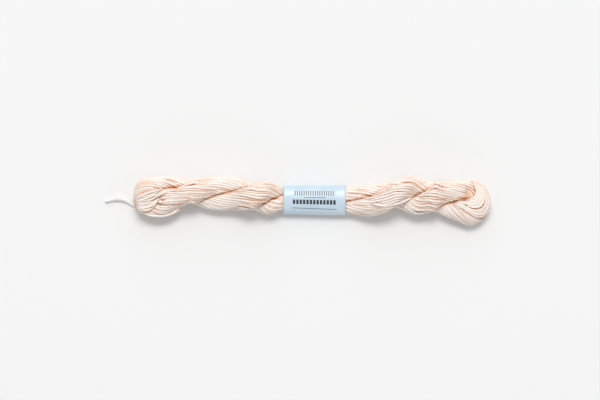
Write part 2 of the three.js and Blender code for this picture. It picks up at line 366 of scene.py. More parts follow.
def read_column(rows: Sequence[Any], name: str, x: np.ndarray) -> np.ndarray:
    """Reads one column of a table along a smooth curve through its rows.

    Args:
        rows: the table, in order of x.
        name: the column.
        x: the places to read it at.

    Returns:
        The column's value at each place.
    """
    xs = np.array([row.x for row in rows])
    ys = np.array([getattr(row, name) for row in rows])
    before = np.maximum(np.arange(len(xs)) - 1, 0)
    after = np.minimum(np.arange(len(xs)) + 1, len(xs) - 1)
    slope = (ys[after] - ys[before]) / (xs[after] - xs[before])
    place = np.clip(x, xs[0], xs[-1])
    i = np.clip(np.searchsorted(xs, place, side="right") - 1, 0, len(xs) - 2)
    width = xs[i + 1] - xs[i]
    t = (place - xs[i]) / width
    rise = ys[i + 1] - ys[i]
    a = slope[i] * width - rise
    b = rise - slope[i + 1] * width
    return ys[i] + t * rise + t * (1 - t) * (a * (1 - t) + b * t)


def soft_floor(value: np.ndarray, least: float, sharpness: float) -> np.ndarray:
    """Keeps values above a least one, with a soft bend where they meet it.

    Args:
        value: the values.
        least: the value that they stay above.
        sharpness: how tight the bend is.

    Returns:
        The values, none of them below the least.
    """
    lift = np.clip(sharpness * (value - least), -40.0, 40.0)
    return np.where(lift > 39.0, value, least + np.log1p(np.exp(lift)) / sharpness)


def squared(value: np.ndarray, power: float | np.ndarray) -> np.ndarray:
    """Raises values to a power and keeps their signs, which makes a circle squarer or flatter."""
    return np.sign(value) * np.abs(value) ** power


def curve_through(points: np.ndarray, step: float) -> np.ndarray:
    """Runs a smooth line through points and cuts it into even steps.

    Args:
        points: the points that it passes, a row each.
        step: the distance between the points returned.

    Returns:
        Points along the line, a row each.
    """
    ends = np.vstack([2 * points[0] - points[1], points, 2 * points[-1] - points[-2]])
    t = np.linspace(0.0, 1.0, 24, endpoint=False)[:, None]
    runs = []
    for a, b, c, d in zip(ends, ends[1:], ends[2:], ends[3:]):
        bend = (2 * a - 5 * b + 4 * c - d) * t ** 2
        turn = (3 * b - a - 3 * c + d) * t ** 3
        runs.append(0.5 * (2 * b + (c - a) * t + bend + turn))
    fine = np.vstack([*runs, points[-1:]])
    gone = length_along(fine)
    count = max(2, int(round(gone[-1] / step)) + 1)
    even = np.linspace(0.0, gone[-1], count)
    return np.column_stack([np.interp(even, gone, fine[:, k]) for k in range(fine.shape[1])])


def length_along(points: np.ndarray) -> np.ndarray:
    """Measures how far each point of a line is from its start, along the line.

    Args:
        points: the line's points, a row each.

    Returns:
        The distance at each point.
    """
    steps = np.linalg.norm(np.diff(points, axis=0), axis=1)
    return np.concatenate([[0.0], np.cumsum(steps)])


@dataclass
class Wander:
    """A slow, even wandering from side to side, the same at each run."""

    rng: random.Random
    longest: float
    shortest: float
    waves: int = 4

    def along(self, gone: np.ndarray, amount: float) -> np.ndarray:
        """Gives how far the line strays at each place.

        Args:
            gone: the distance along the line.
            amount: about how far it strays.

        Returns:
            The offset at each place.
        """
        total = np.zeros_like(gone)
        for _ in range(self.waves):
            wave = self.rng.uniform(self.shortest, self.longest)
            phase = self.rng.uniform(0.0, 2 * math.pi)
            total += np.sin(2 * math.pi * gone / wave + phase)
        return total * amount / math.sqrt(self.waves)


@dataclass
class LoopPath:
    """The way of one turn of yarn: from under the band, round the fold, back and round again."""

    x: np.ndarray
    heading: np.ndarray
    side: np.ndarray
    lay: np.ndarray


@dataclass
class HankForm:
    """The shape that the wound yarn fills, worked out as the solid's own sections are."""

    spread: float = 4.7
    spread_at_ends: float = 5.1
    reach: float = 9.9
    across: float = 7.5
    flatten: float = 0.9
    left_turn: float = -92.2
    right_turn: float = 90.3
    left_lean: float = 5.0
    right_lean: float = -5.6
    left_square: float = 0.07
    right_square: float = 0.025
    end_blend: float = 14.0
    parting: float = 0.5
    pressed: float = 0.52
    dent_from: float = 7.0
    start: float = 2.0
    quarter_length: float = 24.0

    def place(self, path: LoopPath, level: np.ndarray, inset: np.ndarray) -> np.ndarray:
        """Finds points in the bundles' sections.

        Args:
            path: the way along the loop.
            level: the angle in the section at each place, from the outer edge upwards.
            inset: how far below the bundle's skin each point lies.

        Returns:
            The points, a row each.
        """
        far = read_column(SECTIONS, "far", path.x)
        near = read_column(SECTIONS, "near", path.x)
        turn = math.pi * read_column(HALF_TURNS, "turns", path.x)
        from_end = np.minimum(path.x - self.left_turn, self.right_turn - path.x)
        t = np.clip(from_end / self.end_blend, 0.0, 1.0)
        blend = t * t * (3 - 2 * t)
        spread = self.spread_at_ends + (self.spread - self.spread_at_ends) * blend
        reach = self.reach - spread
        c, s = np.cos(turn), np.sin(turn)
        pair = spread * np.abs(c) + np.hypot(reach * c, self.across * s)
        plan = (far - near) / 2 / pair
        height = self.flatten * read_column(SECTIONS, "plump", path.x)
        lean = np.radians(np.where(path.heading < 0, self.left_lean, self.right_lean))
        turn = turn + lean * np.minimum(1.0, np.abs(path.heading) / (math.pi / 2))
        square = np.where(path.heading < 0, self.left_square, self.right_square)
        c, s = np.cos(level), np.sin(level)
        inner = np.clip(-c * 3.0, 0.0, 1.0)
        power = 1 - (1 - self.pressed) * inner
        out = spread + (reach - inset / plan) * squared(c, power)
        out = soft_floor(out, self.parting, 3.0)
        up = (self.across - inset / height) * squared(s, power)
        c, s = np.cos(turn) * path.side, np.sin(turn) * path.side
        swing = np.cos(path.heading)
        x = out * np.sin(path.heading)
        y = out * swing * c - up * np.sin(turn)
        z = out * swing * s + up * np.cos(turn)
        plan = plan * (1 + square * np.sin(2 * path.heading) ** 2)
        axis = read_column(SECTIONS, "axis", path.x)
        return np.column_stack([path.x + x * plan, (far + near) / 2 + y * plan, axis + z * height])

    def girth(self, path: LoopPath, inset: float) -> np.ndarray:
        """Measures the way round a bundle's section at each place.

        Args:
            path: the way along the loop.
            inset: how far below the skin it is measured.

        Returns:
            The distance gone at each of GIRTH_ANGLES, a column for each place.
        """
        below = np.full(len(path.x), inset)
        rings = np.stack([
            self.place(path, np.full(len(path.x), angle), below) for angle in GIRTH_ANGLES
        ])
        steps = np.linalg.norm(np.diff(rings, axis=0), axis=2)
        return np.vstack([np.zeros(len(path.x)), np.cumsum(steps, axis=0)])

    def way(self, step: float) -> LoopPath:
        """Lays out one turn of yarn, from under the band to under the band again.

        Args:
            step: the distance between places along the hank.

        Returns:
            The way, with the angle that the strands have turned through in their bundle.
        """
        round_turn = max(12, int(self.quarter_length / step))
        out = np.arange(self.start, self.right_turn, step)
        back = np.arange(self.right_turn, self.left_turn, -step)
        home = np.arange(self.left_turn, self.start, step)
        quarter = np.linspace(0.0, math.pi / 2, round_turn, endpoint=False)
        x = np.concatenate([
            out, np.full(2 * round_turn, self.right_turn), back,
            np.full(2 * round_turn, self.left_turn), home, [self.start],
        ])
        rest = math.pi / 2
        heading = np.concatenate([
            np.zeros_like(out), quarter, rest - quarter, np.zeros_like(back),
            -quarter, quarter - rest, np.zeros(len(home) + 1),
        ])
        far, near = float(Side.FAR.value), float(Side.NEAR.value)
        side = np.concatenate([
            np.full(len(out) + round_turn, far),
            np.full(round_turn + len(back) + round_turn, near),
            np.full(round_turn + len(home) + 1, far),
        ])
        return LoopPath(x, heading, side, self._lay(x, heading, side))

    def _lay(self, x: np.ndarray, heading: np.ndarray, side: np.ndarray) -> np.ndarray:
        """Adds up how far the strands turn in their bundle along the way.

        Args:
            x: the places along the hank.
            heading: the angle round a turn of the loop.
            side: the bundle at each place.

        Returns:
            The angle at each place.
        """
        turn = math.pi * read_column(HALF_TURNS, "turns", x)
        back = np.where(side > 0, read_column(LAYS, "far", x), read_column(LAYS, "near", x))
        rate = (1 + back) * np.abs(np.diff(turn, prepend=turn[0]))
        swing = np.abs(np.diff(heading, prepend=heading[0]))
        quarter_turns = {
            (True, Side.FAR): 0.4, (True, Side.NEAR): 1.5,
            (False, Side.NEAR): 0.9, (False, Side.FAR): 0.5,
        }
        for (right, which), share in quarter_turns.items():
            here = ((x > 0) == right) & (side == which.value)
            rate = rate + np.where(here, swing * share, 0.0)
        return np.cumsum(rate)

    def outward(self, path: LoopPath, level: np.ndarray) -> np.ndarray:
        """Finds which way is out of the bundle at each place.

        Args:
            path: the way along the loop.
            level: the angle in the section at each place.

        Returns:
            Unit vectors, a row each.
        """
        skin = self.place(path, level, np.zeros(len(path.x)))
        away = skin - self.place(path, level, np.full(len(path.x), 3.0))
        return away / np.maximum(np.linalg.norm(away, axis=1), 1e-6)[:, None]

    def sink(self, points: np.ndarray) -> np.ndarray:
        """Works out how far the hollows between strands press points of the yarn down.

        Args:
            points: the points, a row each.

        Returns:
            The distance that each one sinks.
        """
        sunk = np.zeros(len(points))
        top = np.clip((points[:, 2] - self.dent_from) / 3.0, 0.0, 1.0)
        for dent in DENTS:
            lean = math.radians(dent.lean)
            x, y = points[:, 0] - dent.x, points[:, 1] - dent.y
            along = (x * math.cos(lean) + y * math.sin(lean)) / dent.along
            across = (y * math.cos(lean) - x * math.sin(lean)) / dent.across
            sunk += dent.deep * top * np.exp(-((along ** 2 + across ** 2) ** 1.5))
        return sunk


def neighbours(grid: np.ndarray) -> list[np.ndarray]:
    """Shifts a map by one cell each way, so that each cell meets the four beside it."""
    return [np.roll(grid, way, axis) for axis in (0, 1) for way in (1, -1)]


@dataclass
class HeightMap:
    """How high the wound yarn stands at each place, for strands that lie over it."""

    form: HankForm
    cell: float = 0.6
    cells: tuple[int, int] = (376, 74)
    left_near: tuple[float, float] = (-112.0, -22.0)
    rounds: int = 96
    fading: float = 0.8
    grid: np.ndarray = field(init=False)
    cover: np.ndarray = field(init=False)
    corner: np.ndarray = field(init=False)

    def __post_init__(self) -> None:
        """Fills the map from points all over the bundles."""
        path = self.form.way(0.5)
        self.corner = np.array(self.left_near)
        self.grid = np.zeros(self.cells)
        for k in range(self.rounds):
            level = np.full(len(path.x), 2 * math.pi * k / self.rounds)
            points = self.form.place(path, level, np.zeros(len(path.x)))
            spot = np.round((points[:, :2] - self.corner) / self.cell).astype(int)
            np.maximum.at(self.grid, (spot[:, 0], spot[:, 1]), points[:, 2])
        for _ in range(2):
            around = np.maximum.reduce(neighbours(self.grid))
            self.grid = np.where(self.grid > 0, self.grid, around)
        self.cover = np.zeros_like(self.grid)

    def cover_with(self, points: np.ndarray) -> None:
        """Notes where strands lie over the wound yarn and shade it.

        Args:
            points: points along the strands, a row each.
        """
        spot = np.round((points[:, :2] - self.corner) / self.cell).astype(int)
        self.cover[spot[:, 0], spot[:, 1]] = 1.0
        for _ in range(2):
            around = np.maximum.reduce(neighbours(self.cover))
            self.cover = np.maximum(self.cover, self.fading * around)

    def shaded(self, points: np.ndarray) -> np.ndarray:
        """Finds how far points of the wound yarn are in the shade of strands above them.

        Args:
            points: the points, a row each.

        Returns:
            The share of shade at each point, from 0 to 1.
        """
        near_top = np.clip((points[:, 2] - self.read(self.grid, points) + 3.0) / 1.5, 0.0, 1.0)
        return near_top * self.read(self.cover, points)

    def top(self, points: np.ndarray) -> np.ndarray:
        """Reads the yarn's height below or above points, from their X and Y."""
        return self.read(self.grid, points)

    def read(self, grid: np.ndarray, points: np.ndarray) -> np.ndarray:
        """Reads one of the maps between its cells.

        Args:
            grid: the map.
            points: the points, a row each, of which only X and Y are used.

        Returns:
            The map's value at each point.
        """
        place = (points[:, :2] - self.corner) / self.cell
        low = np.floor(place).astype(int)
        part = place - low
        i, j = low[:, 0], low[:, 1]
        first = grid[i, j] * (1 - part[:, 0]) + grid[i + 1, j] * part[:, 0]
        second = grid[i, j + 1] * (1 - part[:, 0]) + grid[i + 1, j + 1] * part[:, 0]
        return first * (1 - part[:, 1]) + second * part[:, 1]


def to_linear(code: str) -> tuple[float, float, float, float]:
    """Turns an sRGB hex value to linear colour.

    Args:
        code: the colour, as six hex digits after a hash.

    Returns:
        Linear red, green, blue and an alpha of 1.
    """
    parts = [int(code[k:k + 2], 16) / 255 for k in (1, 3, 5)]
    red, green, blue = (p / 12.92 if p <= 0.04045 else ((p + 0.055) / 1.055) ** 2.4 for p in parts)
    return red, green, blue, 1.0


def feed(material: bpy.types.Material, node: bpy.types.Node, inputs: dict[Any, Any]) -> None:
    """Sets or links a node's inputs.

    Args:
        material: the material that the node is in.
        node: the node.
        inputs: for each input, by name or number, a value or the socket that feeds it.
    """
    for name, value in inputs.items():
        if isinstance(value, bpy.types.NodeSocket):
            material.node_tree.links.new(value, node.inputs[name])
        else:
            node.inputs[name].default_value = value


def add_node(
    material: bpy.types.Material, kind: str, settings: dict[str, Any] | None = None,
    inputs: dict[Any, Any] | None = None,
) -> bpy.types.Node:
    """Adds a node with its settings and links.

    Args:
        material: the material whose nodes it joins.
        kind: the node's type.
        settings: the node's own properties by name.
        inputs: its inputs, as feed takes them.

    Returns:
        The node.
    """
    node = material.node_tree.nodes.new(kind)
    for name, value in (settings or {}).items():
        setattr(node, name, value)
    feed(material, node, inputs or {})
    return node


def new_material(name: str) -> tuple[bpy.types.Material, bpy.types.Node]:
    """Starts a material with its principled shader.

    Args:
        name: what the material is.

    Returns:
        The material and its shader node.
    """
    material = bpy.data.materials.new(name)
    material.use_nodes = True
    return material, material.node_tree.nodes["Principled BSDF"]


@dataclass(frozen=True)
class SoftSilk:
    """Loosely spun silk, softly lustrous, with orange painted shade in its gaps, standing in for light
    that bounces in them and goes through the silk.
    """

    pale: str = "#FBF4EF"
    # The orange colour of the painted shade in gaps, grooves and hollows.
    warm_shade: str = "#E4984F"
    shade: str = "#F6EAE1"
    fibre: float = 0.35
    slub: float = 6.0

    def make(self) -> bpy.types.Material:
        """Builds the finish.

        Returns:
            The material.
        """
        material, shader = new_material("spun_silk_yarn")
        place = add_node(material, "ShaderNodeTexCoord").outputs["Object"]
        depth = add_node(material, "ShaderNodeAttribute", {"attribute_name": "depth"})
        tint = add_node(material, "ShaderNodeAttribute", {"attribute_name": "tint"})
        shaded = add_node(material, "ShaderNodeMix", {"data_type": "RGBA"}, {
            0: tint.outputs["Fac"], 6: to_linear(self.pale), 7: to_linear(self.shade),
        })
        # Mixes in the painted orange shade by the shade attribute of each vertex.
        painted_gap_shade = add_node(material, "ShaderNodeMix", {"data_type": "RGBA"}, {
            0: depth.outputs["Fac"], 6: shaded.outputs[2], 7: to_linear(self.warm_shade),
        })
        drawn = add_node(material, "ShaderNodeMapping", {}, {
            "Vector": place, "Scale": (0.16, 1.0, 1.0),
        })
        hair = add_node(material, "ShaderNodeTexNoise", {}, {
            "Vector": drawn.outputs[0], "Scale": 1 / (self.fibre * MM), "Detail": 2.0,
        })
        lump = add_node(material, "ShaderNodeTexNoise", {}, {
            "Vector": place, "Scale": 1 / (self.slub * MM), "Detail": 1.0,
        })
        bump = add_node(material, "ShaderNodeBump", {}, {
            "Height": hair.outputs["Fac"], "Strength": 0.5, "Distance": 0.12 * MM,
        })
        gloss = add_node(material, "ShaderNodeMapRange", {}, {
            "Value": lump.outputs["Fac"], "From Min": 0.3, "From Max": 0.7,
            "To Min": 0.3, "To Max": 0.44,
        })
        feed(material, shader, {
            "Base Color": painted_gap_shade.outputs[2], "Roughness": gloss.outputs[0],
            "Normal": bump.outputs[0], "Sheen Weight": 0.25, "Sheen Roughness": 0.35,
            "Specular IOR Level": 0.5, "Subsurface Weight": 0.2,
            "Subsurface Radius": (1.0, 1.0, 1.0), "Subsurface Scale": 0.5 * MM,
        })
        return material


@dataclass(frozen=True)
class Arithmetic:
    """Steps of arithmetic among a material's nodes."""

    material: bpy.types.Material

    def step(self, kind: str, first: Any, second: Any) -> bpy.types.NodeSocket:
        """Works out one step.

        Args:
            kind: the arithmetic.
            first: a socket or a number.
            second: a socket or a number.

        Returns:
            The result's socket.
        """
        inputs = {0: first, 1: second}
        return add_node(self.material, "ShaderNodeMath", {"operation": kind}, inputs).outputs[0]

    def between(self, value: Any, low: float, high: float) -> bpy.types.NodeSocket:
        """Tests whether a value lies between two limits.

        Args:
            value: the value's socket.
            low: the lower limit.
            high: the upper limit.

        Returns:
            The socket that is 1 between them.
        """
        above = self.step("GREATER_THAN", value, low)
        return self.step("MULTIPLY", above, self.step("LESS_THAN", value, high))


@dataclass(frozen=True)
class BandPaper:
    """Smooth, lightly glazed paper, pale blue, printed in one dark ink."""

    colour: str = "#BDCFDE"
    worn: str = "#D0DEE9"
    ink: str = "#232A38"
    grain: float = 0.5
    length: float = 35.9
    strip: float = 51.05

    def make(self) -> bpy.types.Material:
        """Builds the finish.

        Returns:
            The material.
        """
        material, shader = new_material("printed_band_paper")
        place = add_node(material, "ShaderNodeTexCoord")
        fibre = add_node(material, "ShaderNodeTexNoise", {}, {
            "Vector": place.outputs["Object"], "Scale": 1 / (self.grain * MM), "Detail": 4.0,
        })
        cloud = add_node(material, "ShaderNodeTexNoise", {}, {
            "Vector": place.outputs["Object"], "Scale": 1 / (9.0 * MM), "Detail": 2.0,
        })
        fade = add_node(material, "ShaderNodeMapRange", {}, {
            "Value": cloud.outputs["Fac"], "From Min": 0.35, "From Max": 0.7,
            "To Min": 0.0, "To Max": 0.55,
        })
        paper = add_node(material, "ShaderNodeMix", {"data_type": "RGBA"}, {
            0: fade.outputs[0], 6: to_linear(self.colour), 7: to_linear(self.worn),
        })
        printed = add_node(material, "ShaderNodeMix", {"data_type": "RGBA"}, {
            0: self._print(material, place.outputs["UV"]), 6: paper.outputs[2],
            7: to_linear(self.ink),
        })
        bump = add_node(material, "ShaderNodeBump", {}, {
            "Height": fibre.outputs["Fac"], "Strength": 0.25, "Distance": 0.05 * MM,
        })
        feed(material, shader, {
            "Base Color": printed.outputs[2], "Normal": bump.outputs[0], "Roughness": 0.42,
            "Specular IOR Level": 0.6, "Coat Weight": 0.4, "Coat Roughness": 0.32,
        })
        return material

    def _print(self, material: bpy.types.Material, uv: bpy.types.NodeSocket) -> bpy.types.NodeSocket:
        """Draws the plain marks: a row of ticks, a dotted rule, a row of blocks and a rule.

        Args:
            material: the material that they are drawn in.
            uv: the band's own UV map.

        Returns:
            The socket that is 1 in the ink.
        """
        split = add_node(material, "ShaderNodeSeparateXYZ", {}, {0: uv})
        work = Arithmetic(material)
        along = work.step("MULTIPLY", split.outputs[0], self.length)
        around = work.step("MULTIPLY", split.outputs[1], self.strip)
        ink = 0.0
        for mark in MARKS:
            here = work.between(along, mark.left, mark.right)
            level = work.step("SUBTRACT", around, work.step("MULTIPLY", along, mark.fall))
            line = work.between(level, mark.top, mark.foot)
            phase = work.step("MODULO", work.step("SUBTRACT", along, mark.left), mark.pitch)
            bar = work.step("LESS_THAN", phase, mark.width)
            spot = work.step("MULTIPLY", work.step("MULTIPLY", here, line), bar)
            ink = work.step("MAXIMUM", ink, spot)
        return ink


@dataclass(frozen=True)
class TieCotton:
    """Bleached cotton thread, two plies, matte and a little hairy."""

    colour: str = "#F4F2EE"
    shade: str = "#E6E3DE"
    hair: float = 0.25

    def make(self) -> bpy.types.Material:
        """Builds the finish.

        Returns:
            The material.
        """
        material, shader = new_material("bleached_cotton_thread")
        place = add_node(material, "ShaderNodeTexCoord").outputs["Object"]
        hair = add_node(material, "ShaderNodeTexNoise", {}, {
            "Vector": place, "Scale": 1 / (self.hair * MM), "Detail": 3.0,
        })
        colour = add_node(material, "ShaderNodeMix", {"data_type": "RGBA"}, {
            0: hair.outputs["Fac"], 6: to_linear(self.colour), 7: to_linear(self.shade),
        })
        bump = add_node(material, "ShaderNodeBump", {}, {
            "Height": hair.outputs["Fac"], "Strength": 0.6, "Distance": 0.08 * MM,
        })
        feed(material, shader, {
            "Base Color": colour.outputs[2], "Normal": bump.outputs[0], "Roughness": 0.85,
            "Sheen Weight": 0.2, "Subsurface Weight": 0.7,
            "Subsurface Radius": (1.0, 0.95, 0.9), "Subsurface Scale": 2.0 * MM,
        })
        return material


@dataclass(frozen=True)
class TableTop:
    """A matte white laminate board, even in colour with a very fine tooth."""

    colour: str = "#EBEBEB"

    def make(self) -> bpy.types.Material:
        """Builds the finish.

        Returns:
            The material.
        """
        material, shader = new_material("white_laminate")
        place = add_node(material, "ShaderNodeTexCoord").outputs["Object"]
        tooth = add_node(material, "ShaderNodeTexNoise", {}, {"Vector": place, "Scale": 1 / (0.8 * MM)})
        bump = add_node(material, "ShaderNodeBump", {}, {
            "Height": tooth.outputs["Fac"], "Strength": 0.1, "Distance": 0.02 * MM,
        })
        feed(material, shader, {
            "Base Color": to_linear(self.colour), "Normal": bump.outputs[0], "Roughness": 0.9,
            "Specular IOR Level": 0.2,
        })
        return material


def add_object(name: str, data: Any) -> bpy.types.Object:
    """Puts new data into the scene as an object at the origin.

    Args:
        name: the object's name.
        data: its mesh, curve, camera or light.

    Returns:
        The object.
    """
    item = bpy.data.objects.new(name, data)
    bpy.context.scene.collection.objects.link(item)
    return item


@dataclass
class Strand:
    """One length of yarn: its middle line, which way is out, its painted orange shade and its tint."""

    points: np.ndarray
    outward: np.ndarray
    # How much painted shade the yarn gets, from 0 to 1: it turns orange in gaps and hollows in place of
    # shade.
    depth: np.ndarray
    tint: float


@dataclass
class SpunYarn:
    """Two plies spun into a round yarn, swept along each strand."""

    diameter: float = 1.76
    waist: float = 0.76
    ply_turn: float = 4.8
    sides: int = 10
    # How much painted shade the valleys between strands and plies get.
    crevice_shade: float = 0.36
    crevice_from: float = 0.82
    crevice_span: float = 0.6
    roundness: float = 0.8

    def profile(self, name: str) -> bpy.types.Object:
        """Makes the yarn's section as a closed curve.

        Args:
            name: the name of the section's object.

        Returns:
            The object, which the strands' curve uses and which is then removed.
        """
        data = bpy.data.curves.new(name, "CURVE")
        data.dimensions = "2D"
        spline = data.splines.new("POLY")
        spline.points.add(self.sides - 1)
        for k, point in enumerate(spline.points):
            angle = 2 * math.pi * k / self.sides
            radius = self.diameter / 2 * MM
            radius *= self.waist + (1 - self.waist) * abs(math.cos(angle)) ** self.roundness
            point.co = (radius * math.cos(angle), radius * math.sin(angle), 0.0, 1.0)
        spline.use_cyclic_u = True
        return add_object(name, data)

    def curve(self, name: str, strands: Sequence[Strand], section: bpy.types.Object) -> bpy.types.Object:
        """Lays the strands as one curve object with a spline for each.

        Args:
            name: the curve's name.
            strands: the strands.
            section: the yarn's section.

        Returns:
            The curve's object.
        """
        data = bpy.data.curves.new(name, "CURVE")
        data.dimensions = "3D"
        data.twist_mode = "MINIMUM"
        data.bevel_mode = "OBJECT"
        data.bevel_object = section
        for number, strand in enumerate(strands):
            spline = data.splines.new("POLY")
            spline.points.add(len(strand.points) - 1)
            places = np.column_stack([strand.points * MM, np.ones(len(strand.points))])
            spline.points.foreach_set("co", places.ravel())
            twist = 2 * math.pi * length_along(strand.points) / self.ply_turn + number
            spline.points.foreach_set("tilt", twist)
        return add_object(name, data)

    def mesh(self, name: str, strands: Sequence[Strand], finish: bpy.types.Material) -> bpy.types.Object:
        """Sweeps the yarn along the strands as one mesh.

        Args:
            name: the piece's name.
            strands: the strands.
            finish: the yarn's material.

        Returns:
            The piece.
        """
        section = self.profile(name + "_section")
        line = self.curve(name + "_line", strands, section)
        swept = line.evaluated_get(bpy.context.evaluated_depsgraph_get())
        data = bpy.data.meshes.new_from_object(swept)
        data.name = name
        for item in (line, section):
            spare = item.data
            bpy.data.objects.remove(item)
            bpy.data.curves.remove(spare)
        self._mark(data, strands)
        data.materials.clear()
        data.materials.append(finish)
        data.shade_smooth()
        piece = add_object(name, data)
        self._close(data)
        return piece

    def _mark(self, data: bpy.types.Mesh, strands: Sequence[Strand]) -> None:
        """Stores the yarn's painted orange shade and its tint at each vertex, ring by ring, with more
        painted shade on the low sides of each strand.

        Args:
            data: the swept mesh.
            strands: the strands that it was swept along.
        """
        middle = np.repeat(np.vstack([strand.points for strand in strands]), self.sides, axis=0)
        out = np.repeat(np.vstack([strand.outward for strand in strands]), self.sides, axis=0)
        depth = np.repeat(np.concatenate([strand.depth for strand in strands]), self.sides)
        tint = np.concatenate([
            np.full(len(strand.depth) * self.sides, strand.tint) for strand in strands
        ])
        if len(depth) != len(data.vertices):
            raise ValueError(f"{data.name}: {len(data.vertices)} vertices, not {len(depth)}")
        skin = np.empty(len(depth) * 3)
        data.vertices.foreach_get("co", skin)
        rise = ((skin.reshape(-1, 3) / MM - middle) * out).sum(axis=1) / (self.diameter / 2)
        # Paints shade on the parts of each strand's section that sit low, in the valleys between strands
        # and between plies.
        below = np.clip((self.crevice_from - rise) / self.crevice_span, 0.0, 1.0)
        depth = np.clip(depth + self.crevice_shade * below, 0.0, 1.0)
        for name, values in (("depth", depth), ("tint", tint)):
            layer = data.attributes.new(name, "FLOAT", "POINT")
            layer.data.foreach_set("value", values)

    def _close(self, data: bpy.types.Mesh) -> None:
        """Closes the strands' ends and makes the mesh's faces point outwards.

        Args:
            data: the swept mesh.
        """
        shape = bmesh.new()
        shape.from_mesh(data)
        rims = [edge for edge in shape.edges if edge.is_boundary]
        bmesh.ops.holes_fill(shape, edges=rims)
        if shape.calc_volume(signed=True) < 0:
            bmesh.ops.reverse_faces(shape, faces=shape.faces)
        shape.to_mesh(data)
        shape.free()


@dataclass
class PaperBand:
    """The strip of paper round the middle of the hank, lapped underneath."""

    paper: float = 0.16
    lap_angle: float = 0.4375
    tuck_reach: float = 11.2
    tuck_depth: float = 1.3
    square: float = 2.1
    half_height: float = 4.85
    taper: float = 0.3
    tilt: float = -0.35
    crease_lean: float = 65.0
    crease_left: float = 7.25
    crease_rise: float = 0.5
    puckers: int = 14
    edge_curl: float = 0.1
    curl_width: float = 0.03
    flare: float = 1.2
    flare_reach: float = 4.0
    segments_along: int = 48
    segments_round: int = 220
    finish: BandPaper = BandPaper()

    def __post_init__(self) -> None:
        """Takes the band's place and size from the frame."""
        low, high = (np.array(corner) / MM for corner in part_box("paper_band"))
        self.left, self.right = low[0], high[0]
        self.middle = (low[1] + high[1]) / 2
        self.half = (high[1] - low[1]) / 2 - self.taper / 2
        self.axis = high[2] - self.half_height

    def plan(self, share: Any) -> tuple[Any, Any]:
        """Gives the band's middle line and half its width at a place along it, from 0 to 1."""
        return self.middle + self.tilt * (share - 0.5), self.half + self.taper * (share - 0.5)

    def room(self, points: np.ndarray, clear: float) -> np.ndarray:
        """Draws points of the yarn into the room inside the band.

        Args:
            points: the points, a row each.
            clear: how far they stay inside the band's outer face.

        Returns:
            The points, none of them outside the room where the band is.
        """
        share = (points[:, 0] - self.left) / (self.right - self.left)
        past = np.maximum(np.maximum(-share, share - 1) * (self.right - self.left), 0.0)
        centre, half = self.plan(share)
        y = (points[:, 1] - centre) / (half - clear + past * self.flare)
        z = (points[:, 2] - self.axis) / (self.half_height - clear + past * self.flare)
        out = (np.abs(y) ** self.square + np.abs(z) ** self.square) ** (1 / self.square)
        held = (out > 1) & (past < self.flare_reach)
        shrink = np.where(held, 1 / np.maximum(out, 1e-6), 1.0)
        drawn = points.copy()
        drawn[:, 1] = centre + (points[:, 1] - centre) * shrink
        drawn[:, 2] = self.axis + (points[:, 2] - self.axis) * shrink
        return drawn

    def girth_points(self) -> tuple[np.ndarray, np.ndarray]:
        """Works out the band's section as a line, from lap to lap.

        Returns:
            The angles round the section and the distance along it.
        """
        angle = np.linspace(-math.pi / 2 - self.lap_angle, 1.5 * math.pi + self.lap_angle, 721)
        return angle, length_along(self.outline(angle, 0.5))

    def outline(self, angle: np.ndarray, share: float) -> np.ndarray:
        """Gives points of the band's outer face in a section.

        Args:
            angle: the angles round it, from the near side upwards.
            share: the place along the band, from 0 to 1.

        Returns:
            Y and Z of each point, a row each.
        """
        centre, half = self.plan(share)
        c, s = np.cos(angle), np.sin(angle)
        power = 2 / self.square
        flat = -half * squared(c, power)
        tall = self.half_height * squared(s, power)
        lean = math.radians(self.crease_lean)
        away = tall * math.cos(lean) - flat * math.sin(lean)
        over = np.maximum(away - self.crease_left - self.crease_rise * share, 0.0)
        flat += over * math.sin(lean)
        tall -= over * math.cos(lean)
        return np.column_stack([centre + flat, self.axis + tall])

    def build(self) -> bpy.types.Object:
        """Builds the band from a flat strip wrapped round its section.

        Returns:
            The piece.
        """
        angle, gone = self.girth_points()
        girth = gone[-1]
        shape = bmesh.new()
        bmesh.ops.create_grid(
            shape, x_segments=self.segments_along, y_segments=self.segments_round, size=0.5,
            calc_uvs=False,
        )
        layer = shape.loops.layers.uv.new("strip")
        top = float(np.interp(math.pi / 2, angle, gone)) / girth
        rng = random.Random(41)
        ranges = ((-0.5, 0.5), (0.1, 0.9), (0.05, 0.12), (-0.16, 0.1))
        puckers = [[rng.uniform(*limits) for limits in ranges] for _ in range(self.puckers)]
        flat = {vertex: (vertex.co.x + 0.5, vertex.co.y + 0.5) for vertex in shape.verts}
        for face in shape.faces:
            for loop in face.loops:
                share, way = flat[loop.vert]
                loop[layer].uv = (share, top - way)
        for vertex, (share, way) in flat.items():
            turn = float(np.interp(way * girth, gone, angle))
            y, z = self.outline(np.array([turn]), share)[0]
            out = -self.paper / 2 + self._tuck(way, girth)
            out += sum(
                rise * math.exp(-((share - 0.5 - at) / wide) ** 2 - ((way - up) / (wide * 0.7)) ** 2)
                for at, up, wide, rise in puckers
            )
            edge = min(share, 1 - share)
            out += self.edge_curl * math.exp(-edge / self.curl_width)
            y -= out * math.cos(turn)
            z += out * math.sin(turn)
            x = self.left + share * (self.right - self.left)
            vertex.co = Vector((x, y, max(z, 0.02 + self.paper / 2))) * MM
        bmesh.ops.recalc_face_normals(shape, faces=shape.faces)
        bmesh.ops.solidify(shape, geom=shape.faces, thickness=self.paper * MM)
        bmesh.ops.recalc_face_normals(shape, faces=shape.faces)
        data = bpy.data.meshes.new("paper_sleeve")
        shape.to_mesh(data)
        shape.free()
        data.materials.append(self.finish.make())
        data.shade_smooth()
        piece = add_object("paper_sleeve", data)
        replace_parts(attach(piece, "root"), "paper_band")
        return piece

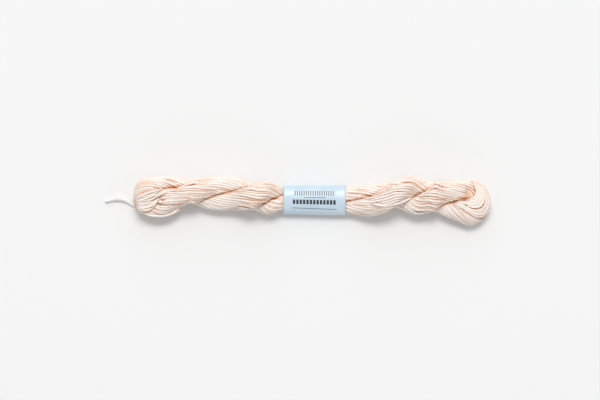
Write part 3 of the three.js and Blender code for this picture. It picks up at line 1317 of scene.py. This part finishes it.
    def _tuck(self, way: float, girth: float) -> float:
        """Presses the strip's inner end in, clear of the outer end that lies over it.

        Args:
            way: the place along the strip, from 0 to 1.
            girth: the strip's length.

        Returns:
            How far the strip stands out there, below zero where it is pressed in.
        """
        inner = self.tuck_reach / girth
        return -self.paper * self.tuck_depth * max(0.0, 1 - way / inner)


@dataclass(frozen=True)
class PaintedShadeWeights:
    """How much each cause adds to a strand's painted shade, which turns gaps, grooves, hollows and yarn
    under other strands orange.
    """

    inward: float = 0.6
    sunk: float = 0.25
    dive: float = 0.45
    inner: float = 0.45
    covered: float = 0.5
    raised: float = 0.3


@dataclass
class WoundYarn:
    """The hank's strands: turns of yarn in two twisted bundles, the sheaf and the fold's cap."""

    form: HankForm
    band: PaperBand
    yarn: SpunYarn = field(default_factory=SpunYarn)
    raised_yarn: SpunYarn = field(default_factory=lambda: SpunYarn(crevice_shade=0.5, crevice_from=0.86))
    finish: SoftSilk = SoftSilk()
    # The weights of the painted shade in gaps, grooves and hollows.
    shade_weights: PaintedShadeWeights = PaintedShadeWeights()
    outer_turns: int = 23
    inner_turns: int = 22
    outer_step: float = 0.5
    inner_step: float = 0.9
    outer_depth: float = 0.5
    inner_depth: float = 1.15
    sway: float = 0.004
    dive: float = 0.65
    deepest: float = 0.7
    crowding: float = 1.5
    crowded_below: float = 1.15
    crowded_most: float = 0.4
    seed: int = 7

    def __post_init__(self) -> None:
        """Maps the height of the wound yarn for the strands that lie over it."""
        self.heights = HeightMap(self.form)

    def _settled(self, points: np.ndarray) -> tuple[np.ndarray, np.ndarray]:
        """Lets strands rest: inside the band, in the hollows and on the table.

        Args:
            points: the points of a strand, a row each.

        Returns:
            The points where they come to rest, and how far each has sunk in a hollow.
        """
        sunk = self.form.sink(points)
        points = points - sunk[:, None] * np.array([0.0, 0.0, 1.0])
        points = self.band.room(points, self.band.paper + self.yarn.diameter / 2 + 0.1)
        return self._above_table(points), sunk

    def _above_table(self, points: np.ndarray) -> np.ndarray:
        """Keeps a strand's middle line, a row for each point, above the table by its radius."""
        points[:, 2] = soft_floor(points[:, 2], self.yarn.diameter / 2 + 0.02, 3.5)
        return points

    def turns(self, layer: Layer) -> list[Strand]:
        """Lays the turns of yarn of one layer.

        Args:
            layer: the layer.

        Returns:
            Its strands.
        """
        outer = layer is Layer.OUTER
        count = self.outer_turns if outer else self.inner_turns
        path = self.form.way(self.outer_step if outer else self.inner_step)
        base = self.yarn.diameter * (self.outer_depth if outer else self.inner_depth)
        girth = self.form.girth(path, base)
        gone = length_along(self.form.place(path, path.lay, np.full(len(path.x), base)))
        crowded = self._crowded(path, girth[-1] / count, gone, count)
        strands = []
        for k in range(count):
            rng = random.Random(self.seed * 1000 + k + (0 if outer else 500))
            sway = Wander(rng, 70.0, 22.0).along(gone, self.sway)
            dive = Wander(rng, 60.0, 14.0).along(gone, self.dive) - 0.25
            dive = np.clip(dive, 0.0, self.deepest)
            dive += (k % 2) * crowded
            share = (path.lay / (2 * math.pi) + k / count + sway) % 1.0
            level = np.array([
                np.interp(part * girth[-1, i], girth[:, i], GIRTH_ANGLES)
                for i, part in enumerate(share)
            ])
            points, sunk = self._settled(self.form.place(path, level, base + dive))
            # Painted shade: more on the side facing the other bundle, in hollows, where strands are
            # pushed down, all along the inner layer and under the strands laid over the yarn.
            inward = np.clip((-np.cos(level) - 0.55) / 0.45, 0.0, 1.0)
            depth = self.shade_weights.inward * inward + self.shade_weights.sunk * sunk + self.shade_weights.dive * dive
            depth = depth + (0.0 if outer else self.shade_weights.inner)
            depth += self.shade_weights.covered * self.heights.shaded(points)
            out = self.form.outward(path, level)
            strands.append(Strand(points, out, np.clip(depth, 0.0, 1.0), rng.uniform(0.0, 0.7)))
        return strands

    def _crowded(
        self, path: LoopPath, pitch: np.ndarray, gone: np.ndarray, count: int,
    ) -> np.ndarray:
        """Works out how far every second strand is pushed down where strands lie close.

        Args:
            path: the way along the loop.
            pitch: the distance between strands round the bundle.
            gone: the distance along a strand.
            count: how many strands the layer has.

        Returns:
            The distance that every second strand is pushed down.
        """
        around = pitch * count * np.gradient(path.lay) / (2 * math.pi)
        slant = around / np.maximum(np.gradient(gone), 1e-6)
        apart = pitch * np.sqrt(np.clip(1 - slant ** 2, 0.2, 1.0))
        down = np.clip(self.crowding * (self.crowded_below - apart), 0.0, self.crowded_most)
        return self._eased(self._eased(down))

    def laid(self, guide: np.ndarray, rng: random.Random, raised: float) -> Strand:
        """Lays one strand over the wound yarn along a guide line.

        Args:
            guide: the guide's columns, a row for each of its places.
            rng: the source of its wandering.
            raised: how far it is lifted above the guide.

        Returns:
            The strand.
        """
        line = curve_through(guide, self.outer_step)
        top = self.heights.top(line)
        height = np.where(top > 1.0, np.minimum(top + line[:, 2] + raised, line[:, 3]), line[:, 3])
        # Painted shade where the guide takes the strand down into the yarn, more the further it goes
        # down.
        depth = np.clip(-self.shade_weights.raised * line[:, 2], 0.0, 0.8)
        points = np.column_stack([line[:, :2], self._eased(height)])
        points[:, 1] += Wander(rng, 22.0, 9.0).along(length_along(points), 0.18)
        out = np.tile([0.0, 0.0, 1.0], (len(points), 1))
        return Strand(self._above_table(points), out, depth, rng.uniform(0.0, 0.6))

    def ribbon(
        self, first: Sequence[Guide], last: Sequence[Guide], count: int, left_out: int = -1,
    ) -> list[Strand]:
        """Lays a ribbon of strands side by side over the wound yarn.

        Args:
            first: the guide of one edge.
            last: the guide of the other edge, with as many places.
            count: how many strands it has room for.
            left_out: the strand that is left out, where the ribbon parts, or -1.

        Returns:
            Its strands.
        """
        one, other = np.array(first), np.array(last)
        strands = []
        for k in range(count):
            if k != left_out:
                line = one + k / (count - 1) * (other - one)
                rng = random.Random(self.seed * 100 + k + len(first) * 7)
                strands.append(self.laid(line, rng, 0.3 * (k % 2) - 0.3))
        return strands

    def _eased(self, values: np.ndarray) -> np.ndarray:
        """Smooths a row of values a little along its length.

        Args:
            values: the values.

        Returns:
            The smoothed values.
        """
        kernel = np.hanning(9)
        padded = np.pad(values, 4, mode="edge")
        return np.convolve(padded, kernel / kernel.sum(), mode="valid")

    def build(self) -> list[bpy.types.Object]:
        """Builds all of the yarn.

        Returns:
            Its pieces.
        """
        finish = self.finish.make()
        groups = {
            "drawn_through_sheaf": self.ribbon(SHEAF_LOWER, SHEAF_UPPER, 8),
            "fan_of_strands": self.ribbon(FAN_LOWER, FAN_UPPER, 6),
            "fold_cap": self.ribbon(CAP_OUTER, CAP_INNER, 12, 4),
        }
        raised = tuple(groups)
        # Marks where the laid strands lie on top, so that the yarn under them gets painted shade.
        over = [strand.points[strand.depth < 0.05] for row in groups.values() for strand in row]
        self.heights.cover_with(np.vstack(over))
        outer = self.turns(Layer.OUTER)
        inner = self.turns(Layer.INNER)
        third = self.outer_turns // 3
        half = self.inner_turns // 2
        groups["outer_turns_a"] = outer[:third]
        groups["outer_turns_b"] = outer[third:2 * third]
        groups["outer_turns_c"] = outer[2 * third:]
        groups["inner_turns_a"] = inner[:half]
        groups["inner_turns_b"] = inner[half:]
        groups["loose_strands"] = [
            self.laid(np.array(guide), random.Random(number), 0.0)
            for number, guide in enumerate((LOOSE_LEFT, LOOSE_MIDDLE))
        ]
        pieces = []
        for name, strands in groups.items():
            yarn = self.raised_yarn if name in raised else self.yarn
            piece = yarn.mesh(name, strands, finish)
            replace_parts(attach(piece, "root"), "hank")
            pieces.append(piece)
        return pieces


@dataclass
class TieThread:
    """The white thread of the tie, from its free end to where it is tucked under the loop."""

    diameter: float = 2.1
    waist: float = 0.7
    ply_turn: float = 3.4
    sides: int = 12
    step: float = 0.35
    lift: float = 0.02
    finish: TieCotton = TieCotton()

    def build(self) -> bpy.types.Object:
        """Returns:
            The piece.
        """
        rows = np.array([[p.x, p.y, p.z + self.diameter / 2 + self.lift] for p in THREAD_RUN])
        points = curve_through(rows, self.step)
        yarn = SpunYarn(self.diameter, self.waist, self.ply_turn, self.sides)
        section = yarn.profile("tie_section")
        section.hide_render = True
        section.hide_viewport = True
        piece = yarn.curve("tie", [Strand(points, points, points[:, 0], 0.0)], section)
        piece.data.materials.append(self.finish.make())
        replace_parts(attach(piece, "root"), "tie_thread")
        return piece


@dataclass
class Studio:
    """The white table, the soft light from the far side and the camera straight above."""

    scale: float = 0.58
    width: int = 600
    centre_x: float = -6.96
    centre_y: float = 0.435
    focus_height: float = 8.0
    camera_height: float = 1250.0
    sensor: float = 36.0
    room_light: float = 0.5
    table_half: float = 2500.0

    def camera(self) -> bpy.types.Object:
        """Sets the camera above the hank so that a picture element covers the scale.

        Returns:
            The camera.
        """
        data = bpy.data.cameras.new("overhead")
        data.sensor_width = self.sensor
        away = self.camera_height - self.focus_height
        data.lens = self.sensor * away / (self.scale * self.width)
        data.clip_start = 0.01
        data.clip_end = 10.0
        item = add_object("overhead", data)
        item.location = Vector((self.centre_x, self.centre_y, self.camera_height)) * MM
        bpy.context.scene.camera = item
        return item

    def lights(self) -> list[bpy.types.Object]:
        """Hangs the soft lights and the even room light.

        Returns:
            The lights.
        """
        made = []
        for lamp in LAMPS:
            data = bpy.data.lights.new(lamp.name, "AREA")
            data.shape = "ELLIPSE"
            data.size = lamp.wide * MM
            data.size_y = lamp.deep * MM
            data.energy = lamp.power
            item = add_object(lamp.name, data)
            item.location = Vector(lamp.place) * MM
            item.rotation_euler = (-item.location).to_track_quat("-Z", "Y").to_euler()
            made.append(item)
        world = bpy.data.worlds.new("white_room")
        world.use_nodes = True
        sky = world.node_tree.nodes["Background"].inputs
        sky["Color"].default_value = to_linear("#FFFFFF")
        sky["Strength"].default_value = self.room_light
        bpy.context.scene.world = world
        bpy.context.scene.view_settings.view_transform = "Standard"
        return made

    def table(self) -> bpy.types.Object:
        """Lays the white table top under the hank.

        Returns:
            The table top.
        """
        shape = bmesh.new()
        bmesh.ops.create_grid(shape, x_segments=2, y_segments=2, size=self.table_half * MM)
        data = bpy.data.meshes.new("table_top")
        shape.to_mesh(data)
        shape.free()
        data.materials.append(TableTop().make())
        item = add_object("table_top", data)
        return item


def main() -> None:
    """Builds the scene and reports each piece."""
    logging.basicConfig(level=logging.INFO, format="%(name)s: %(message)s")
    studio = Studio()
    studio.camera()
    tie = TieThread().build()
    LOG.info("%s: %d points", tie.name, len(tie.data.splines[0].points))
    studio.lights()
    studio.table()
    band = PaperBand()
    sleeve = band.build()
    LOG.info("%s: %d faces", sleeve.name, len(sleeve.data.polygons))
    for piece in WoundYarn(HankForm(), band).build():
        LOG.info("%s: %d faces", piece.name, len(piece.data.polygons))


if __name__ == "__main__":
    main()
